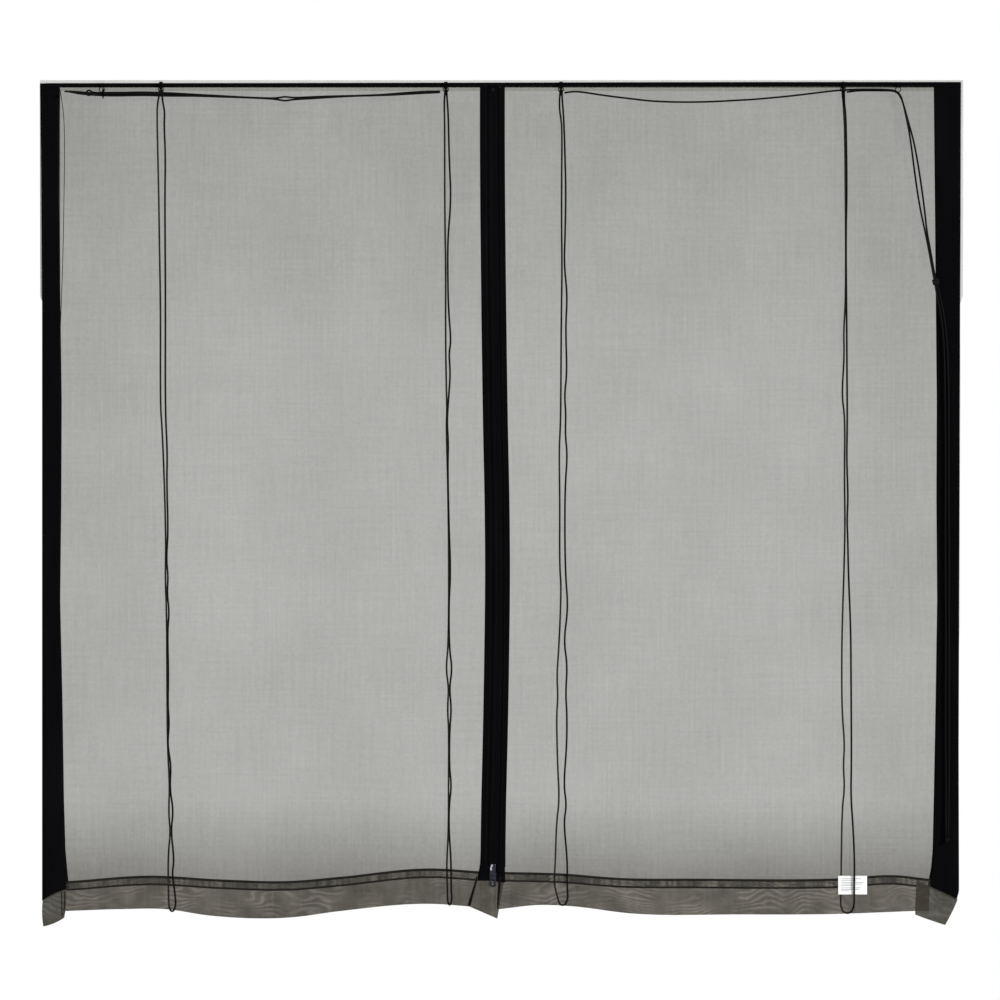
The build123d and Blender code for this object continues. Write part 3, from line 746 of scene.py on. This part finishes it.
panels = {}
for name, side in SIDES:
    seam = smooth_line(SEAMS[name])
    xs = np.linspace(ZIP_X + side * 23.0, side * 1205.0, 119)[::side]
    top, low = 2.0, seam(xs) - 6.0
    rows = 420
    points = []
    for share in np.arange(rows) / (rows - 1):
        z = top + (low - top) * share
        y = -3.5 + billow(xs, z, z - seam(xs))
        points += list(zip(xs * MM, y * MM, z * MM))
    build = Build()
    build.sheet(bowed(points), rows, len(xs))
    panels[name] = build.object(f"{name}_mesh_cloth", [MESH], "header", "insect_mesh", [f"{name}_mesh_panel"])
    gather(panels[name])


# ---- hems
def hem_row(x, z, depth, loose):
    """A row of points along a hem, which waves as far as it hangs loose."""
    sway = (0.9 * np.sin(x / 48.0) + 0.7 * np.sin(x / 23.0 + 1.0)) * loose
    return list(zip(x * MM, (-depth - 0.5 * sway) * MM, z * MM))


# From the seam down the front, round the fold and up the back: (share of the drop, depth)
HEM_SECTION = [
    (0, 5.0), (0.06, 5.2), (0.2, 5.5), (0.4, 5.7), (0.6, 5.8), (0.78, 5.8), (0.9, 5.6), (0.97, 5.0),
    (1.0, 3.9), (0.985, 2.7), (0.93, 2.2), (0.78, 2.0), (0.6, 2.0), (0.4, 2.1), (0.2, 2.2), (0, 2.4),
]
# The ends of each hem's seam and of its lower edge
HEM_ENDS = {"left": ((-1149, -56), (-1157, -82)), "right": ((1, 1132), (-12, 1128))}
hem_pieces = {"left": [], "right": []}
for name in SEAMS:
    body = f"{name}_hem_body"
    seam, low = smooth_line(SEAMS[name]), smooth_line(HEM_LOWS[name])
    count = 200
    top_x, low_x = [start + (stop - start) * np.linspace(0, 1, count) for start, stop in HEM_ENDS[name]]
    top_z, low_z = seam(top_x), low(low_x)
    points = []
    for drop, depth in HEM_SECTION:
        x, z = top_x + (low_x - top_x) * drop, top_z + (low_z - top_z) * drop
        points += hem_row(x, z, depth, 0.3 + 0.7 * drop)
    build = Build()
    build.sheet(points, len(HEM_SECTION), count)
    hem = build.object(f"{name}_hem_cloth", [DOUBLE], body, "doubled_mesh", [f"{name}_hem"])
    # The stitched band along its top
    build = Build()
    rows = [(0.0, 5.6), (4.0, 6.1), (12.0, 6.3), (20.0, 6.1), (25.0, 5.7)]
    points = [p for drop, depth in rows for p in hem_row(top_x, top_z - drop, depth, 0.3)]
    build.sheet(points, len(rows), count)
    build.sheet([(px, py + 0.5 * MM, pz) for px, py, pz in points], len(rows), count, turned=False)
    for drop, wide in ((-0.6, 6.0), (20.0, 5.0)):
        # The turned edges, sewn down with a row of stitches
        high = list(zip(top_x, top_z - drop))
        lowered = list(zip(top_x, top_z - drop - wide))
        ribbon(build, high, lowered, 5.9, 6.6, 240, 3, finish=2, wobble=0.1, edge=0.6)
        stitches(build, np.stack([top_x, top_z - drop - wide / 2], 1), 6.6, 3.4, 2.6, 0.5)
    band = build.object(f"{name}_hem_band", [BAND, HEM_STITCH, EDGE], body, "seam_thread",
                        [f"{name}_hem_seam"])
    hem_pieces[name] += [hem, band]


def flap(name, corners, back, front, material, body, node, curl=1.5, folds=(), soft=0.0):
    """A loose corner of cloth: two layers with a soft fold round its edge, and creases along its folds.

    Corners go round from the top left. soft rounds them off, and curl is how far the cloth leaves its plane.
    """
    a, b, c, d = [np.array(p, float) for p in corners]
    n = 22
    build = Build()
    for face_out in (1, -1):
        points = []
        for r in np.linspace(0, 1, n):
            for s in np.linspace(0, 1, n):
                u, v = 2 * s - 1, 2 * r - 1
                u, v = u * (1 - soft * v * v) ** 0.5, v * (1 - soft * u * u) ** 0.5
                across, down = (u + 1) / 2, (v + 1) / 2
                p = (a * (1 - across) + b * across) * (1 - down) + (d * (1 - across) + c * across) * down
                rim = min(r, 1 - r, s, 1 - s) * 2
                puff = (front - back) / 2 * (1 - (1 - min(rim * 4, 1)) ** 2) ** 0.5
                mid = (front + back) / 2 + curl * 0.3 * np.sin(3.0 * r + 4.0 * s) * rim
                points.append((p[0] * MM, -(mid + face_out * puff) * MM, p[1] * MM))
        build.sheet(points, n, n, turned=face_out > 0)
    for (top, low), wide, low_wide in folds:
        far_side = [(top[0] + wide, top[1]), (low[0] + low_wide, low[1])]
        ribbon(build, [top, low], far_side, front, front + 0.7, 30, 3, finish=1, wobble=0.1, edge=0.5)
    return build.object(name, [material, CREASE], body, "doubled_mesh", [node])


hem_pieces["left"] += [
    flap("left_corner_cloth", [(-1214, -2153), (-1147, -2122), (-1152, -2204), (-1212, -2229)], 6.0, 7.6,
         FLAP, "left_hem_body", "left_corner_flap", soft=0.16, curl=0.8,
         folds=[(((-1163, -2135), (-1161, -2199)), 2.2, 2.2), (((-1154, -2132), (-1156, -2194)), 2.0, 2.0)]),
    flap("centre_cloth", [(-64, -2090), (9, -2090), (-11, -2204), (-90, -2170)], 6.3, 7.0,
         CENTRE, "left_hem_body", "centre_flap",
         folds=[(((-66, -2093), (-90, -2169)), 3.5, 8.0), (((-8, -2093), (-12, -2176)), 8.0, 3.0)]),
]
hem_pieces["right"] += [
    flap("right_corner_cloth", [(1095, -2102), (1206, -2153), (1172, -2222), (1091, -2194)], 6.8, 8.2,
         FLAP, "right_hem_body", "right_corner_flap", soft=0.05, curl=0.8),
]

# ---- tapes
build = Build()
top = [(-1218, 1.0), (-100, 3.0), (700, 4.8), (1213, 4.8)]
bottom = [(-1218, -9), (-100, -8.6), (820, -7), (1000, -7.4), (1213, -9)]
ribbon(build, top, bottom, TAPE_BACK, TAPE_FRONT, 240, 6, wobble=0.2, grooves=(11.0,))
stitches(build, [(-1214, -6.0), (820, -4.6), (1209, -6.0)], 5.1, 4.4)
build.tape("header_tape_woven", "header_tape")

build = Build()
for x0, x1 in ((-1166, -57.5), (9.5, 1140)):
    ribbon(build, [(x0, -8), (x1, -8)], [(x0, -19), (x1, -19)], 4.1, 4.7, 110, 4, wobble=0.1, edge=0.4)
build.object("header_fold_cloth", [FOLDED], "header", "insect_mesh", ["header_fold"])

build = Build()
ribbon(build, [(-1218, -1), (-1167, -1)], [(-1218, -32), (-1167, -32)], 5.2, 6.2, 16, 6, wobble=0.15)
a, b, c, d = (-1215, -4), (-1170, -4), (-1170, -29), (-1215, -29)
for line in ([a, b], [d, c], [a, d], [b, c], [a, c]):
    stitches(build, line, 6.15, 3.2, 2.2)
build.tape("left_corner_patch_sewn", "left_corner_patch")


def side_tape(name, side):
    inner, outer = SIDE_TAPES[name]
    insets = (4.0, abs(outer[0][0] - inner[0][0]) - 8.0)
    build = Build()
    ribbon(build, inner, outer, TAPE_BACK, TAPE_FRONT, 230, 12, wobble=0.3, seed=side, grooves=insets)
    for inset in insets:
        stitches(build, along(inner, outer, inset), 4.95, 4.4)
    gather(build.tape(f"{name}_side_tape_woven", f"{name}_side_tape"))


def zip_tape(name, side):
    """The sewn tape and the thinner web under the coil. On the left, a lap behind also closes the gap."""
    inner, outer = ZIP_TAPES[name]
    near, far = ZIP_X + side * 0.5, ZIP_X + side * 15.4
    build = Build()
    ribbon(build, inner, outer, TAPE_BACK, TAPE_FRONT, 230, 6, wobble=0.15, seed=2 * side, grooves=(4.0,))
    ribbon(build, [(near, -8), (near, ZIP_LOW)], [(far, -8), (far, ZIP_LOW)], 3.1, 3.9, 120, 3, wobble=0.05,
           edge=0.3)
    stitches(build, along(inner, outer, 4.0), 5.0, 4.0)
    stitches(build, along([(near, -24), (near, -2080)], [(far, -24), (far, -2080)], 4.6), 4.0, 3.0, 2.0, 0.3)
    if side < 0:
        ribbon(build, [(ZIP_X - 5.0, -8), (ZIP_X - 5.0, -2074)], [(ZIP_X + 4.5, -8), (ZIP_X + 4.5, -2074)],
               2.25, 2.5, 120, 3, wobble=0.0, edge=0.2)
    build.points = [tuple(p) for p in bowed(build.points)]
    gather(build.tape(f"{name}_zip_tape_woven", f"{name}_zip_tape"))


def zip_coil(name, side):
    """One nylon wire wound round the edge of the tape, half a turn out of step with the other side."""
    pitch, per_turn = 2.6, 8
    top_z, low_z = -20.6, -2074.4
    turns = (top_z - low_z) / pitch
    t = np.linspace(0, turns, int(turns * per_turn)) + (0.5 if side > 0 else 0.0)
    angle = 2 * np.pi * t
    x = ZIP_X + side * (2.05 + 1.5 * np.cos(angle))
    y = -(3.5 + 0.62 * np.sin(angle))
    z = np.linspace(top_z, low_z, len(t))
    build = Build()
    tube(build, bowed(np.stack([x, y, z], 1) * MM), 0.42 * MM, 4)
    made = build.object(f"{name}_zip_teeth", [COIL], "header", "coil_plastic", [f"{name}_zip_coil"])
    gather(made)


for name, side in SIDES:
    side_tape(name, side)
    zip_tape(name, side)
    zip_coil(name, side)

# The left cloth's selvage, which has come away from under the tape near the top
selvage = centreline([(-1166, -6, -14), (-1161, -6, -40), (-1155, -6.5, -90), (-1153, -6.5, -170),
                      (-1155, -6.5, -300), (-1157, -6, -420), (-1161, -5.5, -560), (-1167, -5, -700)])
build = Build()
tube(build, selvage, 1.0 * MM, 6)
made = build.object("left_selvage", [EDGE], "header", "insect_mesh")
gather(made)

# The zip tapes' raw ends, folded forward over the top of the hem
for name, (a, b, c, d) in (("left", [(-57, -2060), (-36, -2060), (-22, -2104), (-64, -2104)]),
                           ("right", [(-9, -2060), (9, -2060), (10, -2109), (-23.4, -2105)])):
    build = Build()
    ribbon(build, [a, d], [b, c], 5.7, 7.2, 12, 5, wobble=0.1, edge=0.5)
    for start, stop, z in ((a, b, -2074), (d, c, -2097)):
        stitches(build, [(start[0] + 3, z), (stop[0] - 3, z)], 7.2, 3.4, 2.4)
    hem_pieces[name].append(build.tape(f"{name}_zip_end_sewn", f"{name}_zip_end", f"{name}_hem_body"))


# ---- the zip's slider
SLIDER_TOP, SLIDER_LONG, SLIDER_HALF = -2060.0, 24.0, 8.0
PIN_DEPTH, PIN_Z = 9.4, -2068.0


def shield(build, back, front, dome):
    """A slider's plate: wide shoulders, a narrower tail, rounded corners and a domed face."""
    n, m = 15, 21
    sheets = []
    for depth, rise in ((front, dome), (back, 0.0)):
        points = []
        for v in np.linspace(0, 1, m):
            end = abs(2 * v - 1)
            half = SLIDER_HALF * (1 - 0.16 * v) * (1 - 0.30 * end ** 9)
            for u in np.linspace(-1, 1, n):
                rim = rise > 0 and (abs(u) == 1 or end == 1)
                swell = rise * (1 - u * u) * (1 - end ** 2) - 0.35 * rim
                points.append((ZIP_X + u * half, -(depth + swell), SLIDER_TOP - SLIDER_LONG * v))
        sheets += points
    faces = [face[::-1] for face in grid_faces(m, n)]
    faces += [tuple(n * m + k for k in face) for face in grid_faces(m, n)]
    rim = [*range(n), *range(2 * n - 1, n * m, n), *range(n * m - 2, n * (m - 1) - 1, -1),
           *range(n * (m - 2), 0, -n)]
    faces += [(a, b, b + n * m, a + n * m) for a, b in zip(rim, rim[1:] + rim[:1])]
    build.add(np.array(sheets) * MM, faces)


build = Build()
shield(build, 4.9, 6.3, 0.8)
shield(build, 0.8, 2.2, 0.0)
ribbon(build, [(ZIP_X - 2.4, -2076), (ZIP_X - 2.4, -2083)], [(ZIP_X + 2.4, -2076), (ZIP_X + 2.4, -2083)],
       2.0, 5.1, 4, 3, wobble=0.0)
for x in (ZIP_X - 5.0, ZIP_X + 3.2):  # the two lugs that hold the tab's pin
    turn = np.linspace(0, np.pi, 9)
    profile = [(6.0, 3.4)] + [(PIN_DEPTH + 2.1 * np.sin(a), 2.1 * np.cos(a)) for a in turn] + [(6.0, -3.4)]
    count = len(profile)
    points = [(x + dx, -depth, PIN_Z + dz) for dx in (0, 1.8) for depth, dz in profile]
    faces = wrapped_faces(2, count)
    faces += [tuple(range(count))[::-1], tuple(range(count, 2 * count))]
    build.add(np.array(points) * MM, faces)
tube(build, np.array([(ZIP_X + dx, -PIN_DEPTH, PIN_Z) for dx in (-5.4, 0, 5.4)]) * MM, 1.0 * MM, 14)
build.object("zip_slider_shell", [PLATED], "slider_body", "slider_metal", ["zip_slider"])


# ---- rings, straps and the hank's tie
def band_loop(build, centre, half_y, half_z, corner, thick, width, axis_x):
    """A closed band of webbing round a rounded rectangle in the (y, z) plane. Millimetres."""
    ring = []
    for k, (sy, sz) in enumerate(((1, 1), (-1, 1), (-1, -1), (1, -1))):
        for a in np.linspace(0, np.pi / 2, 6):
            turn = k * np.pi / 2 + a
            ring.append((sy * (half_y - corner), sz * (half_z - corner), np.cos(turn), np.sin(turn)))
    across = np.linspace(-width / 2, width / 2, 5)
    section = [(w, 0.25 * (abs(w) == width / 2)) for w in across]
    section += [(w, thick - lift) for w, lift in section[::-1]]
    points = []
    for w, inset in section:
        for cy, cz, dy, dz in ring:
            reach = corner - inset
            points.append((axis_x + w, centre[0] + cy + reach * dy, centre[1] + cz + reach * dz))
    faces = wrapped_faces(len(section), len(ring), closed=True)
    build.add(np.array(points) * MM, faces)


for n, x in enumerate(RING_X, 1):
    build = Build()
    band_loop(build, (-8.1, -4.25), 2.9, 6.25, 2.6, 1.2, 10.0, x)
    for z in (-1.0, -6.5):
        stitches(build, [(x - 4.2, z), (x + 4.2, z)], 11.0, 2.6, 1.9, 0.35)
    if n in LIFT_RINGS.values():  # the strap's free end, turned down over the ring
        ribbon(build, [(x - 4.6, 5.5), (x - 4.2, -14.5)], [(x + 4.6, 5.5), (x + 4.0, -14.5)], 11.3, 12.3,
               10, 5, wobble=0.3, edge=0.5)
        stitches(build, [(x - 3.4, -12.0), (x + 3.2, -12.0)], 12.3, 2.6, 1.9, 0.35)
    build.tape(f"ring_strap_{n}_sewn", f"ring_strap_{n}")
    paint(f"guide_ring_{n}", NICKEL)

build = Build()
TIE_X = -1052.0
band_loop(build, (-20.0, -25.2), 7.2, 9.2, 4.0, 1.0, 5.0, TIE_X)
ribbon(build, [(TIE_X - 2, -21), (TIE_X - 2, -27)], [(TIE_X + 2, -21), (TIE_X + 2, -27)],
       8.0, 13.6, 4, 3, wobble=0.0)
ribbon(build, [(TIE_X - 2, -12), (TIE_X - 1.6, -39)], [(TIE_X + 2, -12), (TIE_X + 1.6, -39)],
       27.0, 27.8, 12, 3, wobble=0.3)
build.object("hank_tie_strap", [WEBBING], "header", "black_webbing", ["hank_tie"])

# ---- label
build = Build()
label_x, label_wide, label_top, label_low, n = 889.0, 76.0, -2091.0, -2140.0, 20


def label_y(x, z):
    drop = (label_top - z) / (label_top - label_low)
    return -(7.75 + 0.15 * np.sin((x - label_x) / 14.0) * drop + 0.35 * drop**2)


points = [(x * MM, label_y(x, z) * MM, z * MM) for z in np.linspace(label_top, label_low, n)
          for x in np.linspace(label_x, label_x + label_wide, n)]
build.sheet(points, n, n)
build.sheet([(x, y + 0.2 * MM, z) for x, y, z in points], n, n, turned=False)
# Bars in place of print: (height, share of the label's width at which the bar ends)
for z, stop in ((-2098, 0.80), (-2102, 0.62), (-2108, 0.88), (-2112, 0.84), (-2116, 0.52), (-2122, 0.78),
                (-2126, 0.70), (-2130, 0.40)):
    x0, x1 = [label_x + share * label_wide for share in (0.10, stop)]
    cells = int((x1 - x0) / 4)
    xs = np.linspace(x0, x1, cells)
    bar = [(x * MM, (label_y(x, zz) - 0.06) * MM, zz * MM) for zz in (z, z - 1.5) for x in xs]
    build.sheet(bar, 2, cells, finish=1)
stitches(build, [(891, -2093.5), (963, -2093.5)], 7.85, 3.4, 2.2, 0.35)
label = build.object("care_label_satin", [SATIN, INK], "right_hem_body", "label_white", ["care_label"])
hem_pieces["right"].append(label)

# ---- CAD nodes that keep their shape
for node in ("header_hook_strip", "left_hook_strip", "right_hook_strip"):
    paint(node, HOOKS)
for node in ("left_end_stop", "right_end_stop", "zip_top_stop"):
    paint(node, COIL)
paint("pull_tab", TAB_METAL)
paint("cord_keeper", MOULDED)

# ---- floor and light
FLOOR_Z, FLOOR_REACH = -2.30, 14  # metres
floor_data = bpy.data.meshes.new("floor")
corners = [(x * FLOOR_REACH, y * FLOOR_REACH, FLOOR_Z) for x, y in ((-1, -1), (1, -1), (1, 1), (-1, 1))]
floor_data.from_pydata(corners, [], [(0, 1, 2, 3)])
floor = place("floor", floor_data)
g = Graph("pale floor")
cloud = g.noise(1.2, 3.0)
floor_data.materials.append(g.done(g.shader(Base_Color=g.blend(cloud, (0.84, 0.84, 0.83), (0.88, 0.88, 0.87)),
                                            Roughness=g.span(cloud, 0.3, 0.7, 0.6, 0.75))))

sun = bpy.data.lights.new("key", "SUN")
sun.energy = 3.3
sun.angle = 0.16
key = place("key", sun)
key.rotation_mode = "QUATERNION"
key.rotation_quaternion = Vector((-0.80, 0.60, -0.42)).to_track_quat("-Z", "Y")

world = bpy.data.worlds.new("studio")
bpy.context.scene.world = world
world.use_nodes = True
nodes, links = world.node_tree.nodes, world.node_tree.links
nodes.clear()
out, mix, ray = [nodes.new(f"ShaderNode{kind}") for kind in ("OutputWorld", "MixShader", "LightPath")]
links.new(ray.outputs["Is Camera Ray"], mix.inputs[0])
for socket, strength in ((1, 0.52), (2, 1.0)):  # what lights the curtain, and what the camera sees
    sky = nodes.new("ShaderNodeBackground")
    sky.inputs[0].default_value, sky.inputs[1].default_value = (1, 1, 1, 1), strength
    links.new(sky.outputs[0], mix.inputs[socket])
links.new(mix.outputs[0], out.inputs[0])
bpy.context.scene.view_settings.view_transform = "Standard"
